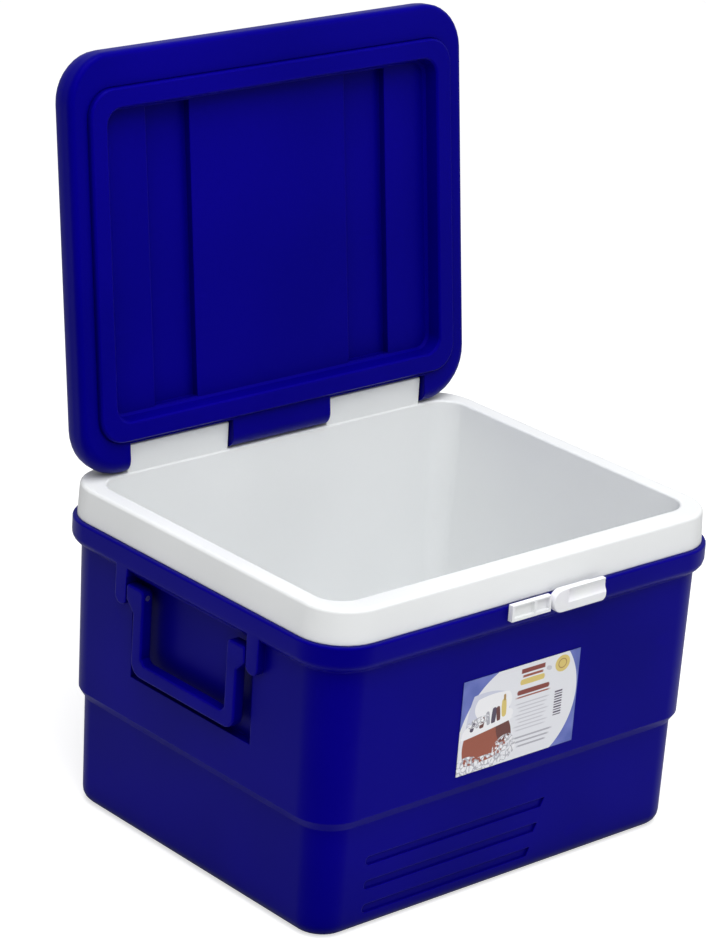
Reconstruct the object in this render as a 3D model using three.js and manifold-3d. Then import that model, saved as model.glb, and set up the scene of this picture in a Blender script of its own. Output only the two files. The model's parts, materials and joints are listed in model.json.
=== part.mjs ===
// Cooler chest: a rounded blue tub with a white liner and rim, an insulated
// lid on two hinge pins, a folding bail handle on each end and a swing latch.
// Millimetres, +Z up, origin on the floor at the middle of the tub. +X runs
// along the front from left to right, +Y to the rear. Drawn with the lid open.
import * as THREE from 'three';
import { mergeVertices } from 'three/addons/utils/BufferGeometryUtils.js';
import Module from 'manifold-3d';

// ---- tub ----
const BODY_WIDTH = 431; // outer wall just under the collar, end to end
const BODY_DEPTH = 355.5; // outer wall just under the collar, front to rear
const BODY_HEIGHT = 300; // floor to the top of the rim
const WALL_RADIUS = 37; // upright corners of the outer wall
const WALL_DRAFT = 0.016; // inward lean of the wall per millimetre of drop
const SHELL_WALL = 3;
const STEP_HEIGHT = 104.5; // middle of the step in the wall
const STEP_HALF = 4.5; // half the height of the step's slope
const STEP_IN = 5.5; // how far the wall moves in below the step
const BASE_RADIUS = 12;
const COLLAR_OUT = 8.7; // collar face beyond the wall
const COLLAR_HEIGHT = 16; // upright face of the collar
const COLLAR_FLARE = 10; // height of the sloping underside
const SHELL_FLANGE = 1; // inner edge of the top flange, inside the wall face
// ---- rim and liner ----
const RIM_HEIGHT = 30; // white band above the collar
const RIM_OUT = 4.7; // foot of the white band beyond the wall
const RIM_LEAN = 1.3; // how far the band's top edge stands in from its foot
const RIM_ROUND = 3.6; // outer top edge of the band
const END_RIM_WIDTH = 13.5; // wall face to the opening, at the ends
const FRONT_RIM_WIDTH = 18;
const REAR_RIM_WIDTH = 23.3;
const OPENING_RADIUS = 24;
const MOUTH_ROUND = 2.2; // inner top edge of the rim
const LINER_WALL = 2.2;
const LINER_DRAFT = 0.035;
const LINER_FLOOR = 16.5; // inside floor above the ground
const LINER_FLOOR_RADIUS = 12;
const RIM_SKIN = 2.6;
// ---- insulation ----
const END_BOARD_THICK = 5.5;
const FRONT_BOARD_THICK = 10;
const REAR_BOARD_THICK = 15.5;
const FLOOR_BOARD_THICK = 9.5;
const BOARD_GAP = 0.7; // board to the liner
const BOARD_END_GAP = 6; // board to the liner floor and to the rim
// ---- lid ----
const LID_SIDE = 2.5; // lid end beyond the wall face of the tub
const LID_FRONT = 11; // lid front edge beyond the wall face of the tub
const LID_THICK = 30.5;
const LID_RADIUS = 42;
const LID_LIP_RADIUS = 5; // lower edge on the ends and front
const LID_TOP_RADIUS = 12;
const LID_WALL = 2.6;
const LID_OPEN_DEG = 97; // turn from shut to the open stop
const PLUG_DROP = 5; // raised ring that enters the opening
const PLUG_WIDTH = 17.5;
const PLUG_CLEAR = 0.9; // ring to the opening, ends and front
const PLUG_HINGE = 16.5; // rear of the ring to the hinge axis
const RECESS_DEPTH = 15; // panel inside the ring
const CHANNEL_X = 110; // the two deeper channels in the panel
const CHANNEL_WIDTH = 47;
const CHANNEL_DEPTH = 7;
const CHANNEL_END = 5; // channel end to the ring
const PANEL_WALL = 2.4;
const PANEL_FLANGE = 5; // hidden flange behind the lid's lip
const LID_FOAM_GAP = 0.4;
const LID_FOAM_INSET = 6;
// ---- hinge ----
const HINGE_RISE = 13.5; // axis above the rim top
const HINGE_BACK = 15.25; // axis in from the rear face of the wall
const LUG_INNER = 57;
const LUG_OUTER = 167;
const LUG_TOP = 12; // lug above the axis
const LUG_SETBACK = 1.2; // lug face behind the edge of the opening
const LUG_ROUND = 1.5; // front top edge
const LUG_REAR = 11; // rear of the lug behind the axis
const LUG_REAR_ROUND = 9; // rear top edge
const LUG_CLEAR = 1.5; // lid to the ends of a lug
const LUG_SWING_CLEAR = 0.5; // lid to a lug through the swing
const HINGE_PIN_RADIUS = 3;
const HINGE_PIN_END = 13; // pin beyond each end of its lug
const HINGE_BLOCK_END = 17; // lid's solid block beyond each end of the lug
const SWING_GAP = 0.5; // lid to the rim top, shut and open
// ---- bail handles ----
const POCKET_HALF = 80;
const POCKET_LOW = 149;
const POCKET_TOP = 243;
const POCKET_DEPTH = 10.5;
const POCKET_WALL = 2.2;
const BAIL_HALF = 69;
const BAIL_BAR = 13.5;
const BAIL_THICK = 11;
const BAIL_LOW = 158.5;
const BAIL_ROUND = 13; // outer corners
const BAIL_EDGE = 2;
const BAIL_HUB = 78.8; // outer end of the hub at each pivot
const BAIL_HUB_RADIUS = 7;
const BAIL_PIVOT_Z = 231;
const BAIL_PIVOT_OUT = 3; // pivot axis beyond the wall face
const EAR_WIDTH = 16;
const EAR_OUT = 8;
const EAR_DROP = 15;
const EAR_EDGE = 1.5;
const BAIL_TIP_ROUND = 3; // outer top corners of the hubs
const BAIL_INNER_ROUND = 5; // inner top corners of the hubs
const BAIL_CROOK = 4; // cut inner corners at the grip
const EAR_PIN_STOP = 5; // pin stops this far inside the ear
const HANDLE_PIN_RADIUS = 2.5;
// ---- latch ----
const LATCH_Z = 264.3; // latch middle above the floor
const LATCH_BASE_LEFT = -35;
const LATCH_BASE_RIGHT = 9;
const LATCH_BASE_HEIGHT = 14.5;
const LATCH_BASE_THICK = 5;
const LATCH_PEG_RADIUS = 2.3;
const LATCH_PEG_IN = 10; // peg to the end of the socket
const LATCH_PEG_LENGTH = 3.6;
const TRAY_END = 2.5; // socket's end walls
const TRAY_LOW = 3; // socket's lower wall
const TRAY_HIGH = 1.5; // socket's upper wall
const TRAY_FLOOR = 2;
const TRAY_SPLIT = 4; // divider, right of the socket's middle
const TRAY_DIVIDER = 2.4;
const LATCH_LEVER_RIGHT = 71;
const LATCH_LEVER_HEIGHT = 20.5;
const LATCH_LEVER_THICK = 7;
const LATCH_LEVER_ROUND = 5; // lower corner at the free end
const LATCH_LEVER_CUT = 2; // slant of the free end at its top
const LATCH_LEVER_BACK = 0.6; // lever to the collar face
const LATCH_LID_CLEAR = 0.5; // raised lever to the front of the shut lid
const LATCH_HOLD = 1; // clearance starts this far below the lid's lip
const SCOOP_RADIUS = 9; // finger scoop along the lever
const SCOOP_DEPTH = 2.6;
const SCOOP_DROP = 6.5; // scoop axis below the lever's top edge
const SCOOP_START = 6; // scoop to the pivot
const LATCH_PIN_RADIUS = 2.5;
// ---- front face ----
const LABEL_WIDTH = 133;
const LABEL_HEIGHT = 86.5;
const LABEL_LOW = 119.7;
const LABEL_X = -3.4;
const LABEL_THICK = 0.5;
const GROOVE_LEFT = -158;
const GROOVE_RIGHT = [48, 42, 36];
const GROOVE_Z = [64, 41.5, 19.5];
const GROOVE_HEIGHT = 8;
const GROOVE_DEPTH = 1.8;
// ---- general ----
const GAP = 0.3;
const CORNER_STEPS = 9;
const ARC_STEPS = 5;

const wasm = await Module();
wasm.setup();

// ---- derived places ----
const rimBase = BODY_HEIGHT - RIM_HEIGHT;
const collarTop = rimBase - GAP;
const wallTop = rimBase - COLLAR_HEIGHT - COLLAR_FLARE;
const hingeY = BODY_DEPTH / 2 - HINGE_BACK;
const hingeZ = BODY_HEIGHT + HINGE_RISE;
const openingRear = BODY_DEPTH / 2 - REAR_RIM_WIDTH;
const openingFront = -(BODY_DEPTH / 2 - FRONT_RIM_WIDTH);
const openingY = (openingRear + openingFront) / 2;
const openingDepth = openingRear - openingFront;
const openingWidth = BODY_WIDTH - 2 * END_RIM_WIDTH;
const lipZ = BODY_HEIGHT + SWING_GAP;
const lidTop = BODY_HEIGHT + LID_THICK;
const edgeRadius = HINGE_RISE - SWING_GAP;
const lidRearY = hingeY + edgeRadius;
const lidFrontY = -(BODY_DEPTH / 2 + LID_FRONT);
const lidWidth = BODY_WIDTH + 2 * LID_SIDE;
const lidDepth = lidRearY - lidFrontY;
const lidY = (lidRearY + lidFrontY) / 2;
const lidDraft = THREE.MathUtils.degToRad(LID_OPEN_DEG - 90);

const material = (hex, roughness) =>
  new THREE.MeshStandardMaterial({ color: hex, roughness, metalness: 0 });
const BLUE = material(0x0a0a96, 0.4);
const WHITE = material(0xdcdedb, 0.45);
const FOAM = material(0xf2efe4, 0.9);
const STEEL = new THREE.MeshStandardMaterial({ color: 0xb8bcc0, roughness: 0.3, metalness: 1 });
const PRINT = material(0x8fa0d8, 0.5);

const group = new THREE.Group();
group.name = 'cooler_chest';

// ---- shape helpers ----

/** Points of a rounded rectangle, anticlockwise from above. */
function outline(width, depth, radius, z, y = 0) {
  const r = Math.max(radius, 1);
  const points = [];
  for (let corner = 0; corner < 4; corner += 1) {
    const sx = corner === 0 || corner === 3 ? 1 : -1;
    const sy = corner < 2 ? 1 : -1;
    for (let i = 0; i <= CORNER_STEPS; i += 1) {
      const angle = (corner + i / CORNER_STEPS) * (Math.PI / 2);
      points.push(new THREE.Vector3(
        sx * (width / 2 - r) + r * Math.cos(angle),
        y + sy * (depth / 2 - r) + r * Math.sin(angle),
        z,
      ));
    }
  }
  return points;
}

/** Outline of the tub's wall moved out by a distance. */
function wallRing(out, z) {
  return outline(BODY_WIDTH + 2 * out, BODY_DEPTH + 2 * out, WALL_RADIUS + out, z);
}

/** Outline of the opening moved out by a distance. */
function openingRing(out, z) {
  return outline(openingWidth + 2 * out, openingDepth + 2 * out,
    OPENING_RADIUS + out, z, openingY);
}

/** Outline of the lid moved in by a distance, which may differ at the rear. */
function lidRing(inset, z, rear = inset) {
  return outline(lidWidth - 2 * inset, lidDepth - inset - rear,
    LID_RADIUS - inset, z, lidY + (inset - rear) / 2);
}

/** Closed skin through a chain of outlines, capped at both ends. */
function loft(rings) {
  const count = rings[0].length;
  const positions = rings.flat().flatMap((p) => [p.x, p.y, p.z]);
  const index = [];
  for (let i = 1; i < count - 1; i += 1) index.push(0, i + 1, i);
  for (let k = 0; k < rings.length - 1; k += 1) {
    for (let i = 0; i < count; i += 1) {
      const j = (i + 1) % count;
      const a = k * count + i;
      const b = k * count + j;
      index.push(a, b, b + count, a, b + count, a + count);
    }
  }
  const last = (rings.length - 1) * count;
  for (let i = 1; i < count - 1; i += 1) index.push(last, last + i, last + i + 1);
  const geometry = new THREE.BufferGeometry();
  geometry.setAttribute('position', new THREE.Float32BufferAttribute(positions, 3));
  geometry.setIndex(index);
  return geometry;
}

/** Points of a circular arc as [distance, height] pairs. */
function arc(cx, cz, radius, from, to, steps = ARC_STEPS) {
  const points = [];
  for (let i = 0; i <= steps; i += 1) {
    const angle = THREE.MathUtils.degToRad(from + ((to - from) * i) / steps);
    points.push([cx + radius * Math.cos(angle), cz + radius * Math.sin(angle)]);
  }
  return points;
}

/** Box given by its low and high corners. */
function box(x0, x1, y0, y1, z0, z1) {
  const geometry = new THREE.BoxGeometry(x1 - x0, y1 - y0, z1 - z0);
  return geometry.translate((x0 + x1) / 2, (y0 + y1) / 2, (z0 + z1) / 2);
}

/** Closed shape in the plane, from a list of points. */
function flatShape(points) {
  return new THREE.Shape(points.map(([u, v]) => new THREE.Vector2(u, v)));
}

/** Plate of a shape given in X and Z, from y0 to y1. */
function plateXZ(shape, y0, y1, bevel = 0) {
  const geometry = new THREE.ExtrudeGeometry(shape, {
    depth: y1 - y0 - 2 * bevel,
    bevelEnabled: bevel > 0,
    bevelThickness: bevel,
    bevelSize: bevel,
    bevelOffset: -bevel,
    bevelSegments: 2,
    curveSegments: 8,
  });
  return geometry.translate(0, 0, bevel).rotateX(Math.PI / 2).translate(0, y1, 0);
}

/** Plate of a shape given in Y and Z, from x0 to x1. */
function plateYZ(shape, x0, x1, bevel = 0, bevelSegments = 2, curveSegments = 8) {
  const geometry = new THREE.ExtrudeGeometry(shape, {
    depth: x1 - x0 - 2 * bevel,
    bevelEnabled: bevel > 0,
    bevelThickness: bevel,
    bevelSize: bevel,
    bevelOffset: -bevel,
    bevelSegments,
    curveSegments,
  });
  return geometry.applyMatrix4(new THREE.Matrix4().makeBasis(
    new THREE.Vector3(0, 1, 0), new THREE.Vector3(0, 0, 1), new THREE.Vector3(1, 0, 0),
  )).translate(x0 + bevel, 0, 0);
}

/** Bar along X of a profile given in Y and Z, from x0 to x1. */
function barX(points, x0, x1) {
  return plateYZ(flatShape(points), x0, x1);
}

/** Round pin along X. */
function pinX(radius, x0, x1, y, z, sides = 20) {
  const geometry = new THREE.CylinderGeometry(radius, radius, x1 - x0, sides);
  return geometry.rotateZ(Math.PI / 2).translate((x0 + x1) / 2, y, z);
}

/** Round pin along Y. */
function pinY(radius, y0, y1, x, z, sides = 20) {
  const geometry = new THREE.CylinderGeometry(radius, radius, y1 - y0, sides);
  return geometry.translate(x, (y0 + y1) / 2, z);
}

/** Positions only, with shared corners joined. */
function bare(geometry) {
  const plain = geometry.clone();
  for (const name of Object.keys(plain.attributes)) {
    if (name !== 'position') plain.deleteAttribute(name);
  }
  return mergeVertices(plain, 1e-4);
}

function toSolid(geometry) {
  const plain = bare(geometry);
  return new wasm.Manifold(new wasm.Mesh({
    numProp: 3,
    vertProperties: new Float32Array(plain.attributes.position.array),
    triVerts: new Uint32Array(plain.index.array),
  }));
}

function fromSolid(solid) {
  const mesh = solid.getMesh();
  const geometry = new THREE.BufferGeometry();
  geometry.setAttribute('position', new THREE.Float32BufferAttribute(mesh.vertProperties, 3));
  geometry.setIndex([...mesh.triVerts]);
  return geometry;
}

/** One geometry joined with others and then cut by others. */
function carve(start, joined, cut) {
  let solid = toSolid(start);
  for (const geometry of joined) solid = solid.add(toSolid(geometry));
  for (const geometry of cut) solid = solid.subtract(toSolid(geometry));
  return fromSolid(solid);
}

/** Mirror image, with its faces turned back outwards. */
function mirrored(geometry, sx, sy) {
  const copy = bare(geometry);
  copy.scale(sx, sy, 1);
  const order = copy.index.array;
  for (let i = 0; i < order.length; i += 3) {
    [order[i], order[i + 1]] = [order[i + 1], order[i]];
  }
  return copy;
}

const mirrorX = (geometry) => mirrored(geometry, -1, 1);
const mirrorY = (geometry) => mirrored(geometry, 1, -1);

/** Turn a shut lid piece to the open stop. */
function opened(geometry) {
  return geometry.clone()
    .translate(0, -hingeY, -hingeZ)
    .rotateX(-THREE.MathUtils.degToRad(LID_OPEN_DEG))
    .translate(0, hingeY, hingeZ);
}

function addPiece(name, geometry, look) {
  const plain = bare(geometry);
  plain.computeVertexNormals();
  const mesh = new THREE.Mesh(plain, look);
  mesh.name = name;
  group.add(mesh);
}

// ---- tub shell ----

/** How far the outer wall stands from its outline under the collar. */
function wallOut(z) {
  const lean = -WALL_DRAFT * (wallTop - z);
  return z < STEP_HEIGHT ? lean - STEP_IN : lean;
}

function shellProfile() {
  const t = SHELL_WALL;
  const low = STEP_HEIGHT - STEP_HALF;
  const high = STEP_HEIGHT + STEP_HALF;
  const foot = wallOut(BASE_RADIUS);
  const outside = [
    ...arc(foot - BASE_RADIUS, BASE_RADIUS, BASE_RADIUS, -90, 0),
    [wallOut(low), low],
    [wallOut(low) + 0.9, low + 1.6],
    [wallOut(high) - 0.9, high - 1.6],
    [wallOut(high), high],
    [0, wallTop],
    [0.9, wallTop + 1.3],
    [COLLAR_OUT * 0.62, wallTop + COLLAR_FLARE * 0.42],
    [COLLAR_OUT - 1, wallTop + COLLAR_FLARE * 0.72],
    [COLLAR_OUT, wallTop + COLLAR_FLARE + 0.6],
    [COLLAR_OUT, collarTop - 1.6],
    [COLLAR_OUT - 0.6, collarTop - 0.5],
    [COLLAR_OUT - 1.6, collarTop],
  ];
  const inside = [
    [-SHELL_FLANGE, collarTop],
    [-SHELL_FLANGE, collarTop - t],
    [COLLAR_OUT - t, collarTop - t],
    [COLLAR_OUT - t, wallTop + COLLAR_FLARE + 2.5],
    [-t, wallTop + 2],
    [wallOut(high) - t, high],
    [wallOut(low) - t, low],
    ...arc(foot - BASE_RADIUS, BASE_RADIUS, BASE_RADIUS - t, 0, -90),
  ];
  return [...outside, ...inside];
}

function pocketBox(grow, outer) {
  const wall = BODY_WIDTH / 2;
  return box(-outer, -(wall - POCKET_DEPTH - grow), -POCKET_HALF - grow, POCKET_HALF + grow,
    POCKET_LOW - grow, POCKET_TOP + grow);
}

/** Raised ear beside the pocket that carries one end of a handle pin. */
function ear(side) {
  const middle = POCKET_HALF + EAR_WIDTH / 2 - 1;
  const half = EAR_WIDTH / 2;
  const wall = BODY_WIDTH / 2;
  const top = wallTop + COLLAR_FLARE + 4;
  const shape = new THREE.Shape();
  shape.moveTo(middle - half, top);
  shape.lineTo(middle - half, BAIL_PIVOT_Z - EAR_DROP + half);
  shape.absarc(middle, BAIL_PIVOT_Z - EAR_DROP + half, half, Math.PI, 0, false);
  shape.lineTo(middle + half, top);
  shape.closePath();
  const x0 = -(wall + EAR_OUT);
  const geometry = plateYZ(shape, x0, x0 + EAR_OUT + SHELL_WALL - 0.5 + EAR_EDGE, EAR_EDGE, 2, 6);
  return side > 0 ? geometry : mirrorY(geometry);
}

/** Long shallow groove on the lower front wall with one slanting end. */
function groove(z, right) {
  const half = GROOVE_HEIGHT / 2;
  const shape = new THREE.Shape();
  shape.moveTo(right - half, z + half);
  shape.lineTo(GROOVE_LEFT + half, z + half);
  shape.absarc(GROOVE_LEFT + half, z, half, Math.PI / 2, Math.PI * 1.5, false);
  shape.lineTo(right - 2 * half, z - half);
  shape.closePath();
  const face = -(BODY_DEPTH / 2 + wallOut(z));
  return plateXZ(shape, face - 5, face + GROOVE_DEPTH);
}

const latchFace = -(BODY_DEPTH / 2 + COLLAR_OUT);
const latchPivotX = LATCH_BASE_RIGHT + 1 + LATCH_LEVER_HEIGHT / 2;
const latchPegs = () => [LATCH_BASE_LEFT + LATCH_PEG_IN, LATCH_BASE_RIGHT - LATCH_PEG_IN];
const pivotX = -(BODY_WIDTH / 2 + BAIL_PIVOT_OUT);
const earEnd = POCKET_HALF + EAR_WIDTH - EAR_PIN_STOP;

function buildShell() {
  const tub = loft(shellProfile().map(([out, z]) => wallRing(out, z)));
  const wall = BODY_WIDTH / 2;
  const joined = [];
  const cut = [];
  for (const mirror of [(g) => g, mirrorX]) {
    joined.push(mirror(pocketBox(POCKET_WALL, wall - 1.8)));
    joined.push(mirror(ear(1)), mirror(ear(-1)));
    cut.push(mirror(pocketBox(0, wall + EAR_OUT + 4)));
    cut.push(mirror(pinY(HANDLE_PIN_RADIUS + GAP, -earEnd, earEnd, pivotX, BAIL_PIVOT_Z)));
  }
  GROOVE_Z.forEach((z, i) => cut.push(groove(z, GROOVE_RIGHT[i])));
  const holes = [...latchPegs().map((x) => [x, LATCH_PEG_RADIUS]), [latchPivotX, LATCH_PIN_RADIUS]];
  for (const [x, radius] of holes) {
    cut.push(pinY(radius + GAP, latchFace - 2, latchFace + SHELL_WALL + 1, x, LATCH_Z));
  }
  return carve(tub, joined, cut);
}

// ---- liner, rim and hinge lugs ----

function linerProfile() {
  const t = LINER_WALL;
  const fall = (z) => -LINER_DRAFT * (BODY_HEIGHT - z);
  const bend = LINER_FLOOR + LINER_FLOOR_RADIUS;
  const outside = arc(fall(bend) - LINER_FLOOR_RADIUS, bend, LINER_FLOOR_RADIUS + t, -90, 0)
    .map(([out, z]) => openingRing(out, z));
  const under = BODY_HEIGHT - RIM_SKIN - 1.6;
  const top = RIM_OUT - RIM_LEAN;
  outside.push(openingRing(fall(under) + t, under));
  outside.push(wallRing(top - RIM_SKIN - 1.2, under));
  outside.push(wallRing(RIM_OUT - RIM_SKIN, rimBase));
  const rim = [
    [RIM_OUT, rimBase],
    ...arc(top - RIM_ROUND, BODY_HEIGHT - RIM_ROUND, RIM_ROUND, 4, 90, 4),
  ].map(([out, z]) => wallRing(out, z));
  const r = MOUTH_ROUND;
  const mouth = arc(r, BODY_HEIGHT - r, r, 90, 180, 3).map(([out, z]) => openingRing(out, z));
  const inside = arc(fall(bend) - LINER_FLOOR_RADIUS, bend, LINER_FLOOR_RADIUS, 0, -90)
    .map(([out, z]) => openingRing(out, z));
  return [...outside, ...rim, ...mouth, ...inside];
}

/** Profile of a hinge lug in Y and Z, around the hinge axis. */
function lugProfile() {
  const front = openingRear + LUG_SETBACK;
  const rear = hingeY + LUG_REAR;
  const foot = BODY_HEIGHT - 1.5;
  const top = hingeZ + LUG_TOP;
  const back = LUG_REAR_ROUND;
  return [
    [front, foot],
    [rear, foot],
    ...arc(rear - back, top - back, back, 0, 90, 5),
    ...arc(front + LUG_ROUND, top - LUG_ROUND, LUG_ROUND, 90, 180, 3),
  ];
}

function buildLiner() {
  const tub = loft(linerProfile());
  const lug = barX(lugProfile(), LUG_INNER, LUG_OUTER);
  const bore = pinX(HINGE_PIN_RADIUS + GAP, LUG_INNER - 2, LUG_OUTER + 2, hingeY, hingeZ);
  return carve(tub, [lug, mirrorX(lug)], [bore, mirrorX(bore)]);
}

// ---- insulation boards of the tub ----

/** Board lying along one wall of the liner, leaning with it. */
function wallBoard(halfSpan, reach, thick, turn) {
  const low = LINER_FLOOR + BOARD_END_GAP;
  const high = rimBase - BOARD_END_GAP;
  const length = high - low;
  const board = new THREE.BoxGeometry(2 * halfSpan, thick, length);
  const middle = (low + high) / 2;
  const inner = reach + LINER_WALL + BOARD_GAP - LINER_DRAFT * (BODY_HEIGHT - middle);
  board.rotateX(-Math.atan(LINER_DRAFT));
  board.translate(0, inner + thick / 2, middle);
  board.rotateZ(turn);
  return board.translate(0, openingY, 0);
}

function addBoards() {
  const spanX = openingWidth / 2 - OPENING_RADIUS - 4;
  const spanY = openingDepth / 2 - OPENING_RADIUS - 4;
  const shallow = openingDepth / 2;
  const long = openingWidth / 2;
  addPiece('foam_front', wallBoard(spanX, shallow, FRONT_BOARD_THICK, Math.PI), FOAM);
  addPiece('foam_rear', wallBoard(spanX, shallow, REAR_BOARD_THICK, 0), FOAM);
  const left = carve(wallBoard(spanY, long, END_BOARD_THICK, Math.PI / 2), [],
    [pocketBox(POCKET_WALL + 0.6, BODY_WIDTH / 2)]);
  addPiece('foam_left', left, FOAM);
  addPiece('foam_right', mirrorX(left), FOAM);
  const out = wallOut(BASE_RADIUS) - BASE_RADIUS - 2;
  const low = SHELL_WALL + GAP;
  const rings = [wallRing(out, low), wallRing(out, low + FLOOR_BOARD_THICK)];
  addPiece('foam_floor', loft(rings), FOAM);
}

// ---- lid, drawn shut and turned open ----

/** Inset of the lid's ends and front at a height, round its lower edge. */
function lipInset(z, shrink) {
  const reach = LID_LIP_RADIUS - shrink;
  const drop = Math.max(lipZ + LID_LIP_RADIUS - z, 0);
  return LID_LIP_RADIUS - Math.sqrt(Math.max(reach * reach - drop * drop, 0));
}

/** Side of the lid as [inset, height, rear inset], from the lip up over the top edge. */
function lidSide(shrink) {
  const r = edgeRadius - shrink;
  const tilt = THREE.MathUtils.radToDeg(lidDraft);
  const lower = arc(0, hingeZ, r, -90, tilt, 8)
    .map(([o, z]) => [lipInset(z, shrink), z, edgeRadius - o]);
  const topR = LID_TOP_RADIUS - shrink;
  const topZ = lidTop - LID_TOP_RADIUS;
  const lean = (topZ - hingeZ) * Math.tan(lidDraft) + edgeRadius * (1 - 1 / Math.cos(lidDraft));
  const upper = arc(0, topZ, topR, tilt, 90, 5)
    .map(([o, z]) => [lean + LID_TOP_RADIUS / Math.cos(lidDraft) - o, z]);
  return [...lower, ...upper];
}

const plugInset = lidWidth / 2 - openingWidth / 2 + PLUG_CLEAR;
const plugFrontY = openingFront + PLUG_CLEAR;
const plugRearY = hingeY - PLUG_HINGE;

/** Outline of the plug ring moved in by a distance. */
function plugRing(inset, z) {
  const depth = plugRearY - plugFrontY;
  const width = lidWidth - 2 * plugInset;
  return outline(width - 2 * inset, depth - 2 * inset, OPENING_RADIUS - inset / 2, z,
    (plugRearY + plugFrontY) / 2);
}

/** Space cleared around one hinge lug through the whole swing. */
function lugSpace() {
  const ahead = hingeY - openingRear - LUG_SETBACK - LUG_ROUND;
  const back = LUG_REAR_ROUND;
  const open = THREE.MathUtils.degToRad(LID_OPEN_DEG);
  const r = LUG_SWING_CLEAR + Math.max(
    Math.hypot(ahead, LUG_TOP - LUG_ROUND) + LUG_ROUND,
    Math.hypot(LUG_REAR - back, LUG_TOP - back) + back,
    LUG_REAR * Math.sin(open) - HINGE_RISE * Math.cos(open),
  );
  const past = lidRearY + 6;
  return barX([
    [hingeY - r, lipZ - 6],
    [past, lipZ - 6],
    [past, hingeZ + r],
    ...arc(hingeY, hingeZ, r, 90, 180, 6),
  ], LUG_INNER - LUG_CLEAR, LUG_OUTER + LUG_CLEAR);
}

/** Solid block in the lid that surrounds one hinge lug and holds its pin. */
function hingeBlock(grow, low, high) {
  return box(LUG_INNER - HINGE_BLOCK_END - grow, LUG_OUTER + HINGE_BLOCK_END + grow,
    plugRearY + 2 * GAP - grow, lidRearY + grow, low, high);
}

function buildLidShell() {
  const skin = (shrink) => loft(lidSide(shrink).map(([inset, z, rear]) => lidRing(inset, z, rear)));
  const window = loft([plugRing(-GAP, lipZ - 4), plugRing(-GAP, lipZ + LID_WALL + 1)]);
  const block = toSolid(hingeBlock(0, lipZ, lidTop - 1)).intersect(toSolid(skin(LID_WALL / 2)));
  let shell = toSolid(skin(0)).subtract(toSolid(skin(LID_WALL))).subtract(toSolid(window));
  const bore = pinX(HINGE_PIN_RADIUS + GAP, LUG_INNER - HINGE_PIN_END - 1,
    LUG_OUTER + HINGE_PIN_END + 1, hingeY, hingeZ);
  shell = shell.add(block).add(block.mirror([1, 0, 0]));
  for (const cut of [lugSpace(), bore]) {
    shell = shell.subtract(toSolid(cut)).subtract(toSolid(mirrorX(cut)));
  }
  return fromSolid(shell);
}

const plugLow = lipZ - PLUG_DROP;
const recessZ = plugLow + RECESS_DEPTH;
const channelFront = plugFrontY + PLUG_WIDTH + CHANNEL_END;
const channelRear = plugRearY - PLUG_WIDTH - CHANNEL_END;

/** Box over one channel, grown on every side but its open lower face. */
function channelBox(x, low, grow) {
  const half = CHANNEL_WIDTH / 2 + grow;
  return box(x - half, x + half, channelFront - grow, channelRear + grow,
    low, recessZ + CHANNEL_DEPTH + grow);
}

/** Recessed panel under the lid, with a hollow ring round it that enters the opening. */
function buildLidPanel() {
  const seatZ = lipZ + LID_WALL + GAP;
  const w = PANEL_WALL;
  const flange = loft([plugRing(-PANEL_FLANGE, seatZ), plugRing(-PANEL_FLANGE, seatZ + w)]);
  const ring = loft([
    plugRing(1.6, plugLow), plugRing(0.4, plugLow + 1.2), plugRing(0, plugLow + 2.4),
    plugRing(0, recessZ + w),
  ]);
  const recess = loft([
    plugRing(PLUG_WIDTH - 1.4, plugLow - 1), plugRing(PLUG_WIDTH - 1.4, plugLow),
    plugRing(PLUG_WIDTH, plugLow + 1.4), plugRing(PLUG_WIDTH + 2, recessZ - 2),
    plugRing(PLUG_WIDTH + 4, recessZ),
  ]);
  const trough = loft([plugRing(w, plugLow + w), plugRing(w, recessZ + 20)]);
  const core = loft([plugRing(PLUG_WIDTH - w, plugLow), plugRing(PLUG_WIDTH - w, recessZ + 30)]);
  const sides = [-CHANNEL_X, CHANNEL_X];
  const joined = [ring, ...sides.map((x) => channelBox(x, recessZ + 0.5, w))];
  const cuts = [recess, ...sides.map((x) => channelBox(x, recessZ - 2, 0))];
  let panel = toSolid(flange);
  for (const geometry of joined) panel = panel.add(toSolid(geometry));
  for (const geometry of cuts) panel = panel.subtract(toSolid(geometry));
  panel = panel.subtract(toSolid(trough).subtract(toSolid(core)));
  const clear = hingeBlock(GAP, lipZ + 1, lidTop);
  return fromSolid(panel.subtract(toSolid(clear)).subtract(toSolid(mirrorX(clear))));
}

function buildLidFoam() {
  const low = recessZ + PANEL_WALL + LID_FOAM_GAP;
  const high = lidTop - LID_WALL - LID_FOAM_GAP;
  const inset = LID_WALL + LID_FOAM_INSET;
  const slab = loft([
    lidRing(inset, low), lidRing(inset, high - 4), lidRing(inset + 4, high),
  ]);
  const cuts = [-CHANNEL_X, CHANNEL_X].map((x) => channelBox(x, low - 2, PANEL_WALL + LID_FOAM_GAP));
  const clear = hingeBlock(GAP + 2, low - 2, lidTop);
  return carve(slab, [], [...cuts, clear, mirrorX(clear)]);
}

function addHingePins() {
  const pin = pinX(HINGE_PIN_RADIUS, LUG_INNER - HINGE_PIN_END, LUG_OUTER + HINGE_PIN_END,
    hingeY, hingeZ, 24);
  addPiece('hinge_pin_right', pin, STEEL);
  addPiece('hinge_pin_left', mirrorX(pin), STEEL);
}

// ---- bail handles ----

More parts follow.
